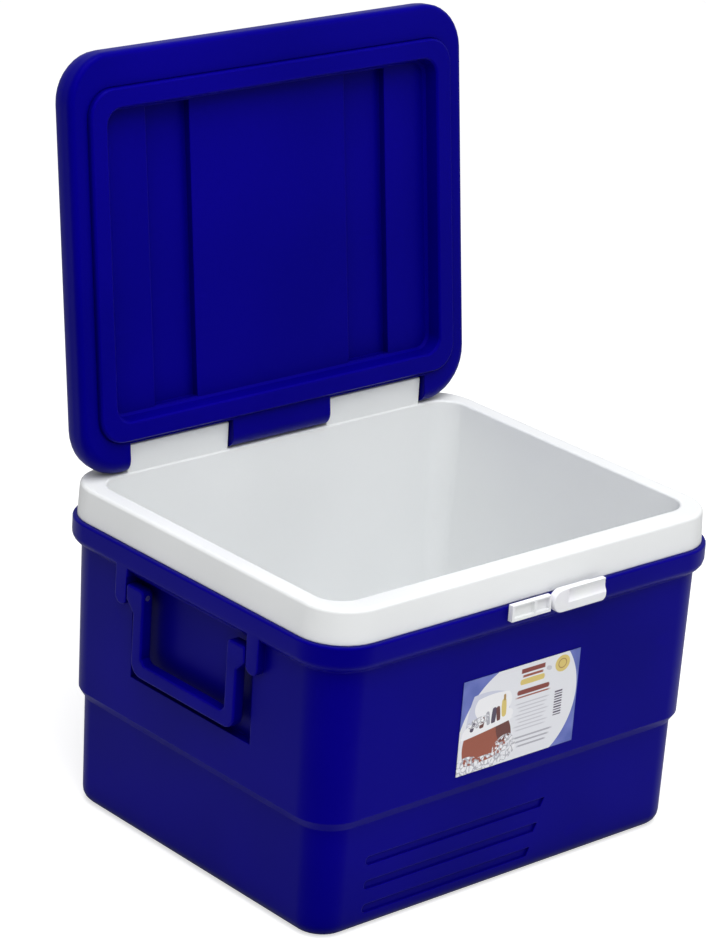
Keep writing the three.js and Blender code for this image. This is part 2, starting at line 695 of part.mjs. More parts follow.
/** U-shaped bail in Y and Z, hanging from a wider hub at each pivot. */
function bailShape() {
  const outer = BAIL_HALF;
  const inner = BAIL_HALF - BAIL_BAR;
  const r = BAIL_ROUND;
  const low = BAIL_LOW + BAIL_BAR;
  const top = BAIL_PIVOT_Z + BAIL_HUB_RADIUS;
  const under = BAIL_PIVOT_Z - BAIL_HUB_RADIUS;
  const flare = BAIL_HUB - outer;
  const tip = BAIL_TIP_ROUND;
  const turn = BAIL_INNER_ROUND;
  const shape = new THREE.Shape();
  shape.moveTo(-BAIL_HUB, under);
  shape.lineTo(-outer, under - flare);
  shape.lineTo(-outer, BAIL_LOW + r);
  shape.absarc(-outer + r, BAIL_LOW + r, r, Math.PI, Math.PI * 1.5, false);
  shape.lineTo(outer - r, BAIL_LOW);
  shape.absarc(outer - r, BAIL_LOW + r, r, -Math.PI / 2, 0, false);
  shape.lineTo(outer, under - flare);
  shape.lineTo(BAIL_HUB, under);
  shape.lineTo(BAIL_HUB, top - tip);
  shape.absarc(BAIL_HUB - tip, top - tip, tip, 0, Math.PI / 2, false);
  shape.lineTo(inner + turn, top);
  shape.absarc(inner + turn, top - turn, turn, Math.PI / 2, Math.PI, false);
  shape.lineTo(inner, low + BAIL_CROOK);
  shape.lineTo(inner - BAIL_CROOK, low);
  shape.lineTo(-inner + BAIL_CROOK, low);
  shape.lineTo(-inner, low + BAIL_CROOK);
  shape.lineTo(-inner, top - turn);
  shape.absarc(-inner - turn, top - turn, turn, 0, Math.PI / 2, false);
  shape.lineTo(-BAIL_HUB + tip, top);
  shape.absarc(-BAIL_HUB + tip, top - tip, tip, Math.PI / 2, Math.PI, false);
  shape.closePath();
  return shape;
}

function buildBail() {
  const face = pivotX - BAIL_THICK / 2;
  const bail = plateYZ(bailShape(), face, face + BAIL_THICK, BAIL_EDGE, 3);
  const bore = pinY(HANDLE_PIN_RADIUS + GAP, -BAIL_HUB - 3, BAIL_HUB + 3, pivotX, BAIL_PIVOT_Z);
  return carve(bail, [], [bore]);
}

function addHandles() {
  const bail = buildBail();
  addPiece('handle_left', bail, BLUE);
  addPiece('handle_right', mirrorX(bail), BLUE);
  const start = BAIL_HALF - BAIL_BAR + 0.5;
  const end = earEnd - 0.5;
  const front = pinY(HANDLE_PIN_RADIUS, -end, -start, pivotX, BAIL_PIVOT_Z);
  const rear = pinY(HANDLE_PIN_RADIUS, start, end, pivotX, BAIL_PIVOT_Z);
  addPiece('handle_pin_left_front', front, STEEL);
  addPiece('handle_pin_left_rear', rear, STEEL);
  addPiece('handle_pin_right_front', mirrorX(front), STEEL);
  addPiece('handle_pin_right_rear', mirrorX(rear), STEEL);
}

// ---- latch ----

/** Fixed socket on the collar: a shallow tray with one divider. */
function buildLatchBase() {
  const low = LATCH_Z - LATCH_BASE_HEIGHT / 2;
  const high = LATCH_Z + LATCH_BASE_HEIGHT / 2;
  const rear = latchFace - GAP;
  const front = rear - LATCH_BASE_THICK;
  const block = box(LATCH_BASE_LEFT, LATCH_BASE_RIGHT, front, rear, low, high);
  const split = (LATCH_BASE_LEFT + LATCH_BASE_RIGHT) / 2 + TRAY_SPLIT;
  const tray = (left, right) =>
    box(left, right, front - 1, rear - TRAY_FLOOR, low + TRAY_LOW, high - TRAY_HIGH);
  const trays = [
    tray(LATCH_BASE_LEFT + TRAY_END, split - TRAY_DIVIDER / 2),
    tray(split + TRAY_DIVIDER / 2, LATCH_BASE_RIGHT - TRAY_END),
  ];
  const pegs = latchPegs()
    .map((x) => pinY(LATCH_PEG_RADIUS, rear - 1, rear + LATCH_PEG_LENGTH, x, LATCH_Z));
  return carve(block, pegs, trays);
}

/** Space behind the lever's free end for the front edge of the shut lid. */
function leverRelief(rear) {
  const reach = lipZ - LATCH_HOLD - LATCH_Z;
  const start = Math.sqrt(Math.max(reach * reach - (LATCH_LEVER_HEIGHT / 2) ** 2, 1));
  const back = Math.min(lidFrontY - LATCH_LID_CLEAR, rear);
  return box(latchPivotX + start, LATCH_LEVER_RIGHT + 1, back, rear + 1,
    LATCH_Z - LATCH_LEVER_HEIGHT, LATCH_Z + LATCH_LEVER_HEIGHT);
}

/** Swinging lever, lying to the right of its pivot. */
function buildLatchLever() {
  const r = LATCH_LEVER_HEIGHT / 2;
  const pivot = latchPivotX;
  const z = LATCH_Z;
  const shape = new THREE.Shape();
  shape.moveTo(pivot, z + r);
  shape.absarc(pivot, z, r, Math.PI / 2, Math.PI * 1.5, false);
  const corner = LATCH_LEVER_ROUND;
  shape.lineTo(LATCH_LEVER_RIGHT - corner, z - r);
  shape.absarc(LATCH_LEVER_RIGHT - corner, z - r + corner, corner, -Math.PI / 2, 0, false);
  shape.lineTo(LATCH_LEVER_RIGHT, z + r - corner);
  shape.lineTo(LATCH_LEVER_RIGHT - LATCH_LEVER_CUT, z + r);
  shape.closePath();
  const rear = latchFace - LATCH_LEVER_BACK;
  const body = plateXZ(shape, rear - LATCH_LEVER_THICK, rear, 1);
  const scoop = pinX(SCOOP_RADIUS, pivot + SCOOP_START, LATCH_LEVER_RIGHT + 4,
    rear - LATCH_LEVER_THICK - SCOOP_RADIUS + SCOOP_DEPTH, z + r - SCOOP_DROP, 28);
  const bore = pinY(LATCH_PIN_RADIUS + GAP, rear - 4.5, rear + 2, pivot, z);
  return carve(body, [], [scoop, bore, leverRelief(rear)]);
}

function addLatch() {
  addPiece('latch_base', buildLatchBase(), WHITE);
  addPiece('latch_lever', buildLatchLever(), WHITE);
  const rear = latchFace - LATCH_LEVER_BACK;
  const pin = pinY(LATCH_PIN_RADIUS, rear - 4, latchFace + SHELL_WALL, latchPivotX, LATCH_Z);
  addPiece('latch_pin', pin, STEEL);
}

// ---- label ----

function buildLabel() {
  const high = LABEL_LOW + LABEL_HEIGHT;
  const middle = (LABEL_LOW + high) / 2;
  const face = -(BODY_DEPTH / 2 + wallOut(middle)) - 0.2;
  const label = new THREE.BoxGeometry(LABEL_WIDTH, LABEL_THICK, LABEL_HEIGHT);
  label.rotateX(Math.atan(WALL_DRAFT));
  return label.translate(LABEL_X, face - LABEL_THICK / 2, middle);
}

// ---- assembly ----

addPiece('outer_shell', buildShell(), BLUE);
addPiece('inner_liner', buildLiner(), WHITE);
addBoards();
addPiece('lid_shell', opened(buildLidShell()), BLUE);
addPiece('lid_panel', opened(buildLidPanel()), BLUE);
addPiece('lid_foam', opened(buildLidFoam()), FOAM);
addHingePins();
addHandles();
addLatch();
addPiece('front_label', buildLabel(), PRINT);

export default group;
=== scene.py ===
"""Cooler chest: finishes, printed label, floor, lights and camera around the fixed model.

The chest is a satin blue moulded tub with a white liner and rim, an insulated lid standing
open on two hinge lugs, a folding bail handle on each end and a white swing latch.
"""

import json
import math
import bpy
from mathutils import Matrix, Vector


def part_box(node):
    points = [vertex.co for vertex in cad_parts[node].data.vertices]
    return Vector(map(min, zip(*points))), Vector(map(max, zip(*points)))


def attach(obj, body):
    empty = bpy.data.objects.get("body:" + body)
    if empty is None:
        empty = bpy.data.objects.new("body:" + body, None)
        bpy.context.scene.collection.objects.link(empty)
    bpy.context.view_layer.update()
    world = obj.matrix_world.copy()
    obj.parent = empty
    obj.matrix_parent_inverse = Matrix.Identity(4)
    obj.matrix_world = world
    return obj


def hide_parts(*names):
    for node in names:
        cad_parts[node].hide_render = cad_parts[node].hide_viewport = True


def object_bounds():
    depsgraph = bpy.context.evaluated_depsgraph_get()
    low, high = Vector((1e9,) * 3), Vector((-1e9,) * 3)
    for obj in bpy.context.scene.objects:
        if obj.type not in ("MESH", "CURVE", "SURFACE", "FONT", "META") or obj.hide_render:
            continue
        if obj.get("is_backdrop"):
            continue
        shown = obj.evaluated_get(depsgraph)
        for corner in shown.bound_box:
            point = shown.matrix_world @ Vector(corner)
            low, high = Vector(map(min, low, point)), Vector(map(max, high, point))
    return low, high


bl_info = {
    "name": "Cooler Chest",
    "version": (1, 0, 0),
    "blender": (4, 5, 0),
    "location": "3D View > Sidebar > Cooler",
    "description": "Gives a moulded cooler chest its plastics, pins, foam, printed label and stage",
    "category": "Object",
}

import bmesh
import bpy
from mathutils import Matrix, Vector

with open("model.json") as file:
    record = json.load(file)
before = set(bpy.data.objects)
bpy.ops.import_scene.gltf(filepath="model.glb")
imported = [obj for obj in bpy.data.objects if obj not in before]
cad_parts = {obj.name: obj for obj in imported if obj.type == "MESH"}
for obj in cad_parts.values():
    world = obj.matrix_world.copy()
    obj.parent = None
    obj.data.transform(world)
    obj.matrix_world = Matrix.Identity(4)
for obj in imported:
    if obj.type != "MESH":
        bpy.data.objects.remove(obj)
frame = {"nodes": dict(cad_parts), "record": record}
CAD_LOW, CAD_HIGH = (Vector(corner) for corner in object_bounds())
NODES = frame["nodes"]
MM = 0.001

SHELL_NODES = ("outer_shell",)
LID_NODES = ("lid_shell", "lid_panel")
HANDLE_NODES = ("handle_left", "handle_right")
LINER_NODES = ("inner_liner",)
LATCH_NODES = ("latch_base", "latch_lever")
LABEL_NODE = "front_label"
FOAM_NODES = ("foam_front", "foam_rear", "foam_left", "foam_right", "foam_floor", "lid_foam")
HINGE_PINS = ("hinge_pin_left", "hinge_pin_right")
HANDLE_PINS = (
    "handle_pin_left_front", "handle_pin_left_rear",
    "handle_pin_right_front", "handle_pin_right_rear",
)
WELD_DISTANCE = 2e-6
SLIVER_LENGTH = 1e-6
SMOOTH_ANGLE = math.radians(28)
FLAT_FACE_WEIGHT = 90

# ---- finish values ----

BEVEL_SAMPLES = 6
EDGE_AGREEMENT = (0.995, 0.85)  # rounded and true normals: flat face, full edge
STROKES = ((0.4, (30.0, 900.0, 30.0)), (-0.7, (700.0, 40.0, 40.0)))  # turn, stretch
STROKE_CONTRAST = 14.0
STROKE_PATCH_SCALE = 14.0
STROKE_PATCH_RANGE = (0.5, 0.62)
OCCLUSION_SAMPLES = 8
OCCLUSION_RANGE = (0.2, 0.95)
DRIFT_RANGE = (0.35, 0.65)
GRAIN_RANGE = (0.3, 0.7)
RUBBED_SHARE = 0.35  # how far a rubbed edge goes to the worn colour
SMOOTHER, ROUGHER = 0.04, 0.05  # spread of the roughness about its middle
SCUFF_ROUGHNESS = 0.12
PLASTIC_BUMP = 0.6
# painted shade: a near-black blue laid over the base colour in recesses, and how much of it the
# blue parts take
PAINTED_SHADE_COLOUR = (0.0, 0.0, 0.02, 1.0)
BLUE_PAINTED_SHADE = 0.55
BLUE_SPECULAR = 0.07
BLUE_TINT = (0.1, 0.05, 1.0, 1.0)
WHITE_SPECULAR = 0.4
WHITE_TINT = (1.0, 1.0, 1.0, 1.0)
WIRE_LINES, WIRE_LENGTH = 2600.0, 60.0  # noise scale across and along the wire
WIRE_STAIN_SCALE = 240.0
WIRE_BRIGHT = (0.62, 0.63, 0.65, 1)
WIRE_DULL = (0.5, 0.49, 0.47, 1)
WIRE_ROUGHNESS = (0.22, 0.42)
BEAD_SCALE = 260.0
BEAD_SEAM = 0.12
BEAD_COLOUR = (0.86, 0.83, 0.74, 1)
BEAD_SEAM_COLOUR = (0.62, 0.58, 0.48, 1)
BEAD_ROUGHNESS = (0.95, 0.78)


# ---- shader building ----

def new_material(name):
    """A material with one Principled shader, ready for its values."""
    material = bpy.data.materials.new(name)
    material.use_nodes = True
    tree = material.node_tree
    return material, tree, tree.nodes["Principled BSDF"]


def node(tree, kind, **values):
    """A node of a kind, with the attributes given."""
    made = tree.nodes.new(kind)
    for key, value in values.items():
        setattr(made, key, value)
    return made


def math_node(tree, operation, first, second=None, clamp=False):
    """A Math node whose inputs are sockets or plain numbers; gives its output."""
    made = node(tree, "ShaderNodeMath", operation=operation, use_clamp=clamp)
    for index, value in enumerate((first, second)):
        if value is None:
            continue
        if isinstance(value, (int, float)):
            made.inputs[index].default_value = value
        else:
            tree.links.new(value, made.inputs[index])
    return made.outputs[0]


def ramp_value(tree, value, low, high, out_low=0.0, out_high=1.0):
    """A number carried from one range to another, kept inside it."""
    made = node(tree, "ShaderNodeMapRange", clamp=True)
    tree.links.new(value, made.inputs["Value"])
    made.inputs["From Min"].default_value = low
    made.inputs["From Max"].default_value = high
    made.inputs["To Min"].default_value = out_low
    made.inputs["To Max"].default_value = out_high
    return made.outputs["Result"]


def bump_normal(tree, height, strength, distance, normal=None):
    """A Bump node on a height; gives its normal."""
    made = node(tree, "ShaderNodeBump")
    made.inputs["Strength"].default_value = strength
    made.inputs["Distance"].default_value = distance
    tree.links.new(height, made.inputs["Height"])
    if normal is not None:
        tree.links.new(normal, made.inputs["Normal"])
    return made.outputs["Normal"]


def mix_colour(tree, mask, below, above):
    """One colour painted over another by a mask; a colour is a socket or four numbers."""
    made = node(tree, "ShaderNodeMix", data_type="RGBA")
    tree.links.new(mask, made.inputs["Factor"])
    for name, value in (("A", below), ("B", above)):
        socket = next(s for s in made.inputs if s.name == name and s.type == "RGBA")
        if isinstance(value, bpy.types.NodeSocket):
            tree.links.new(value, socket)
        else:
            socket.default_value = value
    return next(s for s in made.outputs if s.type == "RGBA")


def noise(tree, vector, scale, detail=2.0, roughness=0.5):
    """Noise on a vector; gives its value output."""
    made = node(tree, "ShaderNodeTexNoise")
    tree.links.new(vector, made.inputs["Vector"])
    made.inputs["Scale"].default_value = scale
    made.inputs["Detail"].default_value = detail
    made.inputs["Roughness"].default_value = roughness
    return made.outputs["Fac"]


def object_vector(tree, scale=(1.0, 1.0, 1.0), location=(0.0, 0.0, 0.0)):
    """Object coordinates, stretched or moved by a Mapping node."""
    coordinates = node(tree, "ShaderNodeTexCoord")
    mapping = node(tree, "ShaderNodeMapping")
    mapping.inputs["Scale"].default_value = scale
    mapping.inputs["Location"].default_value = location
    tree.links.new(coordinates.outputs["Object"], mapping.inputs["Vector"])
    return mapping.outputs["Vector"]


def new_group(name, inputs, outputs):
    """A shader node group with named sockets; gives the tree and its two end nodes."""
    tree = bpy.data.node_groups.new(name, "ShaderNodeTree")
    for title, kind, default in inputs:
        socket = tree.interface.new_socket(title, in_out="INPUT", socket_type=kind)
        if default is not None:
            socket.default_value = default
    for title, kind in outputs:
        tree.interface.new_socket(title, in_out="OUTPUT", socket_type=kind)
    return tree, tree.nodes.new("NodeGroupInput"), tree.nodes.new("NodeGroupOutput")


def place_group(tree, group, vector=None, **values):
    """A group placed in a tree with its own values."""
    made = node(tree, "ShaderNodeGroup", node_tree=group)
    if vector is not None:
        tree.links.new(vector, made.inputs["Vector"])
    for key, value in values.items():
        made.inputs[key.replace("_", " ").title()].default_value = value
    return made


def moulding_group():
    """Fine moulded grain over slow ripples: a height and a tone."""
    tree, start, end = new_group(
        "Moulded Surface",
        [("Vector", "NodeSocketVector", None), ("Grain Scale", "NodeSocketFloat", 900.0),
         ("Ripple Scale", "NodeSocketFloat", 9.0), ("Ripple Share", "NodeSocketFloat", 0.6)],
        [("Height", "NodeSocketFloat"), ("Tone", "NodeSocketFloat"), ("Grain", "NodeSocketFloat")],
    )
    vector = start.outputs["Vector"]
    grain = node(tree, "ShaderNodeTexNoise")
    grain.inputs["Detail"].default_value = 3.0
    ripple = node(tree, "ShaderNodeTexNoise")
    ripple.inputs["Detail"].default_value = 1.0
    for texture, source in ((grain, "Grain Scale"), (ripple, "Ripple Scale")):
        tree.links.new(vector, texture.inputs["Vector"])
        tree.links.new(start.outputs[source], texture.inputs["Scale"])
    share = start.outputs["Ripple Share"]
    slow = math_node(tree, "MULTIPLY", ripple.outputs["Fac"], share)
    rest = math_node(tree, "SUBTRACT", 1.0, share)
    fine = math_node(tree, "MULTIPLY", grain.outputs["Fac"], rest)
    tree.links.new(math_node(tree, "ADD", slow, fine), end.inputs["Height"])
    tree.links.new(ripple.outputs["Fac"], end.inputs["Tone"])
    tree.links.new(grain.outputs["Fac"], end.inputs["Grain"])
    return tree


def edge_group():
    """Edges rounded over for the eye, with a mask that is 1 along them."""
    tree, start, end = new_group(
        "Soft Edge",
        [("Radius", "NodeSocketFloat", 0.001)],
        [("Normal", "NodeSocketVector"), ("Mask", "NodeSocketFloat")],
    )
    bevel = node(tree, "ShaderNodeBevel", samples=BEVEL_SAMPLES)
    tree.links.new(start.outputs["Radius"], bevel.inputs["Radius"])
    geometry = node(tree, "ShaderNodeNewGeometry")
    dot = node(tree, "ShaderNodeVectorMath", operation="DOT_PRODUCT")
    tree.links.new(bevel.outputs["Normal"], dot.inputs[0])
    tree.links.new(geometry.outputs["Normal"], dot.inputs[1])
    tree.links.new(bevel.outputs["Normal"], end.inputs["Normal"])
    tree.links.new(ramp_value(tree, dot.outputs["Value"], *EDGE_AGREEMENT), end.inputs["Mask"])
    return tree


def scuff_group():
    """Thin hairline scratches in two directions, broken up by noise."""
    tree, start, end = new_group(
        "Hairline Scuffs",
        [("Vector", "NodeSocketVector", None), ("Threshold", "NodeSocketFloat", 0.68)],
        [("Mask", "NodeSocketFloat")],
    )
    vector = start.outputs["Vector"]
    strokes = []
    for turn, stretch in STROKES:
        mapping = node(tree, "ShaderNodeMapping")
        mapping.inputs["Rotation"].default_value = (turn, turn * 0.6, turn)
        mapping.inputs["Scale"].default_value = stretch
        tree.links.new(vector, mapping.inputs["Vector"])
        lines = noise(tree, mapping.outputs["Vector"], 1.0, 1.0)
        over = math_node(tree, "SUBTRACT", lines, start.outputs["Threshold"])
        strokes.append(math_node(tree, "MULTIPLY", over, STROKE_CONTRAST, clamp=True))
    patches = ramp_value(tree, noise(tree, vector, STROKE_PATCH_SCALE), *STROKE_PATCH_RANGE)
    both = math_node(tree, "MAXIMUM", *strokes)
    tree.links.new(math_node(tree, "MULTIPLY", both, patches), end.inputs["Mask"])
    return tree


def painted_shade_group():
    """A painted shade value that falls inside narrow recesses, where little light gets in."""
    tree, start, end = new_group(
        "Recess Shade",
        [("Reach", "NodeSocketFloat", 0.03), ("Depth", "NodeSocketFloat", 0.4)],
        [("Shade", "NodeSocketFloat")],
    )
    painted_shade = node(tree, "ShaderNodeAmbientOcclusion", samples=OCCLUSION_SAMPLES)
    tree.links.new(start.outputs["Reach"], painted_shade.inputs["Distance"])
    light = ramp_value(tree, painted_shade.outputs["AO"], *OCCLUSION_RANGE)
    closed = math_node(tree, "SUBTRACT", 1.0, light)
    loss = math_node(tree, "MULTIPLY", closed, start.outputs["Depth"])
    tree.links.new(math_node(tree, "SUBTRACT", 1.0, loss), end.inputs["Shade"])
    return tree


PRINT_SHARPNESS = 6.0  # mask gained in each millimetre inside a printed edge


def patch_group():
    """One flat printed shape: a box at Round 0, an ellipse at Round 1."""
    tree, start, end = new_group(
        "Print Patch",
        [("Vector", "NodeSocketVector", None), ("Centre", "NodeSocketVector", None),
         ("Half Width", "NodeSocketFloat", 1.0), ("Half Height", "NodeSocketFloat", 1.0),
         ("Tilt", "NodeSocketFloat", 0.0), ("Round", "NodeSocketFloat", 0.0)],
        [("Mask", "NodeSocketFloat")],
    )
    rotate = node(tree, "ShaderNodeVectorRotate", rotation_type="Z_AXIS")
    offset = node(tree, "ShaderNodeVectorMath", operation="SUBTRACT")
    tree.links.new(start.outputs["Vector"], offset.inputs[0])
    tree.links.new(start.outputs["Centre"], offset.inputs[1])
    tree.links.new(offset.outputs[0], rotate.inputs["Vector"])
    tree.links.new(start.outputs["Tilt"], rotate.inputs["Angle"])
    split = node(tree, "ShaderNodeSeparateXYZ")
    tree.links.new(rotate.outputs[0], split.inputs[0])
    across = math_node(tree, "DIVIDE", math_node(tree, "ABSOLUTE", split.outputs["X"]),
                       start.outputs["Half Width"])
    along = math_node(tree, "DIVIDE", math_node(tree, "ABSOLUTE", split.outputs["Y"]),
                      start.outputs["Half Height"])
    square = math_node(tree, "MAXIMUM", across, along)
    circle = math_node(tree, "SQRT", math_node(
        tree, "ADD", math_node(tree, "POWER", across, 2.0), math_node(tree, "POWER", along, 2.0)))
    blend = node(tree, "ShaderNodeMix", data_type="FLOAT")
    tree.links.new(start.outputs["Round"], blend.inputs[0])
    tree.links.new(square, blend.inputs[2])
    tree.links.new(circle, blend.inputs[3])
    inside = math_node(tree, "SUBTRACT", 1.0, blend.outputs[0])
    size = math_node(tree, "MINIMUM", start.outputs["Half Width"], start.outputs["Half Height"])
    depth = math_node(tree, "MULTIPLY", inside, size)
    edge = math_node(tree, "MULTIPLY", depth, PRINT_SHARPNESS)
    tree.links.new(math_node(tree, "ADD", edge, 0.5, clamp=True), end.inputs["Mask"])
    return tree


GROUPS = {}


def group(name):
    """A shared node group, built the first time that it is asked for."""
    builders = {"moulding": moulding_group, "edge": edge_group, "scuff": scuff_group,
                "painted_recess_shade": painted_shade_group, "patch": patch_group}
    if name not in GROUPS:
        GROUPS[name] = builders[name]()
    return GROUPS[name]


def moulded_plastic(name, colours, roughness, specular, tint, grain=900.0, ripple=9.0,
                    share=0.6, depth=0.00006, edge=0.0012, scuffs=0.05, painted_shade=0.0):
    """Moulded plastic: slow colour drift, fine grain, soft edges and faint hairline scuffs.

    Its colours are the main one, a deeper drift and the one that rubbed edges show.
    """
    colour, deep, worn = (tuple(value) for value in colours)
    material, tree, shader = new_material(name)
    vector = object_vector(tree)
    surface = place_group(tree, group("moulding"), vector, grain_scale=grain,
                          ripple_scale=ripple, ripple_share=share)
    soft = place_group(tree, group("edge"), radius=edge)
    marks = place_group(tree, group("scuff"), vector)
    drift = ramp_value(tree, surface.outputs["Tone"], *DRIFT_RANGE)
    base = mix_colour(tree, drift, deep, colour)
    rubbed = math_node(tree, "MULTIPLY", soft.outputs["Mask"], RUBBED_SHARE)
    base = mix_colour(tree, rubbed, base, worn)
    faint = math_node(tree, "MULTIPLY", marks.outputs["Mask"], scuffs)
    base = mix_colour(tree, faint, base, worn)
    # painted shade: recesses darkened in the base colour by ambient occlusion
    if painted_shade:
        painted_recess_shade = place_group(tree, group("painted_recess_shade"), depth=painted_shade)
        dim = math_node(tree, "SUBTRACT", 1.0, painted_recess_shade.outputs["Shade"])
        base = mix_colour(tree, dim, base, PAINTED_SHADE_COLOUR)
    tree.links.new(base, shader.inputs["Base Color"])
    rough = ramp_value(tree, surface.outputs["Grain"], *GRAIN_RANGE,
                       roughness - SMOOTHER, roughness + ROUGHER)
    matt = math_node(tree, "MULTIPLY", marks.outputs["Mask"], SCUFF_ROUGHNESS)
    tree.links.new(math_node(tree, "ADD", rough, matt), shader.inputs["Roughness"])
    normal = bump_normal(tree, surface.outputs["Height"], PLASTIC_BUMP, depth,
                         soft.outputs["Normal"])
    tree.links.new(normal, shader.inputs["Normal"])
    shader.inputs["Specular IOR Level"].default_value = specular
    shader.inputs["Specular Tint"].default_value = tint
    return material


def drawn_steel(name, axis):
    """Bright drawn wire with fine lines along one axis."""
    material, tree, shader = new_material(name)
    stretch = [WIRE_LINES] * 3
    stretch["XYZ".index(axis)] = WIRE_LENGTH
    lines = noise(tree, object_vector(tree, tuple(stretch)), 1.0, 3.0)
    stain = ramp_value(tree, noise(tree, object_vector(tree), WIRE_STAIN_SCALE), 0.4, 0.7)
    base = mix_colour(tree, stain, WIRE_BRIGHT, WIRE_DULL)
    tree.links.new(base, shader.inputs["Base Color"])
    rough = ramp_value(tree, lines, *GRAIN_RANGE, *WIRE_ROUGHNESS)
    tree.links.new(rough, shader.inputs["Roughness"])
    tree.links.new(bump_normal(tree, lines, 0.4, 0.00003), shader.inputs["Normal"])
    shader.inputs["Metallic"].default_value = 1.0
    return material


def beaded_foam(name):
    """Expanded foam board: packed beads with darker seams between them."""
    material, tree, shader = new_material(name)
    cells = node(tree, "ShaderNodeTexVoronoi", feature="DISTANCE_TO_EDGE")
    cells.inputs["Scale"].default_value = BEAD_SCALE
    tree.links.new(object_vector(tree), cells.inputs["Vector"])
    seam = ramp_value(tree, cells.outputs["Distance"], 0.0, BEAD_SEAM)
    base = mix_colour(tree, seam, BEAD_SEAM_COLOUR, BEAD_COLOUR)
    tree.links.new(base, shader.inputs["Base Color"])
    rough = ramp_value(tree, seam, 0.0, 1.0, *BEAD_ROUGHNESS)
    tree.links.new(rough, shader.inputs["Roughness"])
    normal = bump_normal(tree, cells.outputs["Distance"], 1.0, 0.0004)
    tree.links.new(normal, shader.inputs["Normal"])
    return material


# ---- printed label ----

RED = (0.23, 0.035, 0.02, 1)
BRICK = (0.32, 0.075, 0.035, 1)
BRICK_DARK = (0.13, 0.03, 0.02, 1)
YELLOW = (0.72, 0.56, 0.16, 1)
YELLOW_DARK = (0.42, 0.25, 0.06, 1)
PAPER = (0.80, 0.81, 0.85, 1)
PAPER_BRIGHT = (0.9, 0.9, 0.92, 1)
MIST = (0.62, 0.64, 0.76, 1)
GREY = (0.42, 0.42, 0.47, 1)
GREY_PALE = (0.60, 0.60, 0.65, 1)
INK = (0.07, 0.05, 0.09, 1)

# Printed shapes from the bottom one up: centre across and up in millimetres from the label's
# lower left corner, half width, half height, tilt in degrees, roundness, colour.
PRINT_SHAPES = [
    (31, 47, 24, 24, -8, 0.35, MIST),
    (36, 58, 21, 10, 0, 0.5, PAPER_BRIGHT),
    (31, 41, 29, 8.5, 10, 0.75, PAPER_BRIGHT),
    (14, 43.5, 2.2, 5.5, -14, 0.4, INK),
    (18.5, 45, 1.9, 4.6, 12, 0.4, GREY),
    (24.5, 44, 2.6, 5.2, -8, 0.4, BRICK_DARK),
    (31, 46.5, 2.0, 6.5, 9, 0.4, GREY),
    (37.5, 47.5, 2.6, 7.5, -4, 0.4, INK),
    (42.5, 48, 2.2, 7.0, 7, 0.4, BRICK_DARK),
    (48.5, 52, 2.8, 8.5, 4, 0.5, YELLOW),
    (48.5, 61.5, 1.3, 3.0, 4, 0.3, YELLOW_DARK),
    (29, 23, 25, 15.5, 5, 0.3, BRICK),
    (50, 31, 8.0, 9.5, 20, 0.4, BRICK_DARK),
    (30, 37.5, 29.5, 2.4, 7, 0.45, PAPER_BRIGHT),
    (79, 80.5, 13.5, 2.1, 0, 0.0, RED),
    (79, 75.6, 11.5, 1.1, 0, 0.0, BRICK),
    (79, 70.4, 14.0, 2.7, 0, 0.2, YELLOW),
    (97.5, 76.5, 3.2, 2.0, -20, 0.8, GREY_PALE),
    (81, 61.0, 18.5, 2.3, 0, 0.15, RED),
    (81, 56.6, 18.5, 0.7, 0, 0.0, BRICK),
    (113, 77, 8.4, 7.6, 0, 1.0, YELLOW),
    (113, 77, 5.0, 4.6, 0, 1.0, YELLOW_DARK),
    (113, 77, 4.0, 3.6, 0, 1.0, YELLOW),
]
TEXT_ROWS = [(81, 50.5 - 3.5 * k, 18.5 - 2.2 * (k % 3), 0.62, GREY_PALE) for k in range(8)]
NOTE_ROWS = [(84, 19.0 - 4.2 * k, 22.0 - 3.0 * k, 0.8, GREY) for k in range(3)]
CODE_ROWS = [(111.5, 30.0 + 2.4 * k, 4.4, 0.75 if k % 2 else 0.5, INK) for k in range(10)]
# The pale leaf-shaped panel: a disc that bounds one side, and the half that it leaves alone.
PANEL_SIDES = [((70, 20, 73.3, 73.3), (110, 43, 46, 60)), ((70, 50, 62, 62), (20, 43, 46, 60))]
# Heaps of ice: centre, half width, half height, tilt.
ICE_HEAPS = ((24, 5.5, 30, 7.0, 4), (52, 14, 13, 12, 24), (10, 8, 12, 8, 0), (20, 46, 13, 4.0, 8))
ICE_SCALE = 0.22
ICE_CRACK = (0.03, 0.16)
GROUND_SCALE = 0.05
SPECKLE_SCALE = 0.3
HALFTONE_SCALE = 2.2
HALFTONE_SHARE = 0.1
FILM_SCALE = 0.6
FILM_ROUGHNESS = (0.34, 0.5)
FILM_WAVE_SCALE = 0.12
FILM_SPECULAR = 0.35


def label_shapes():
    """Every printed shape of the label, in the order that it is laid down."""
    shapes = list(PRINT_SHAPES)
    for across, up, half_width, half_height, colour in TEXT_ROWS + NOTE_ROWS + CODE_ROWS:
        shapes.append((across, up, half_width, half_height, 0, 0.0, colour))
    return shapes


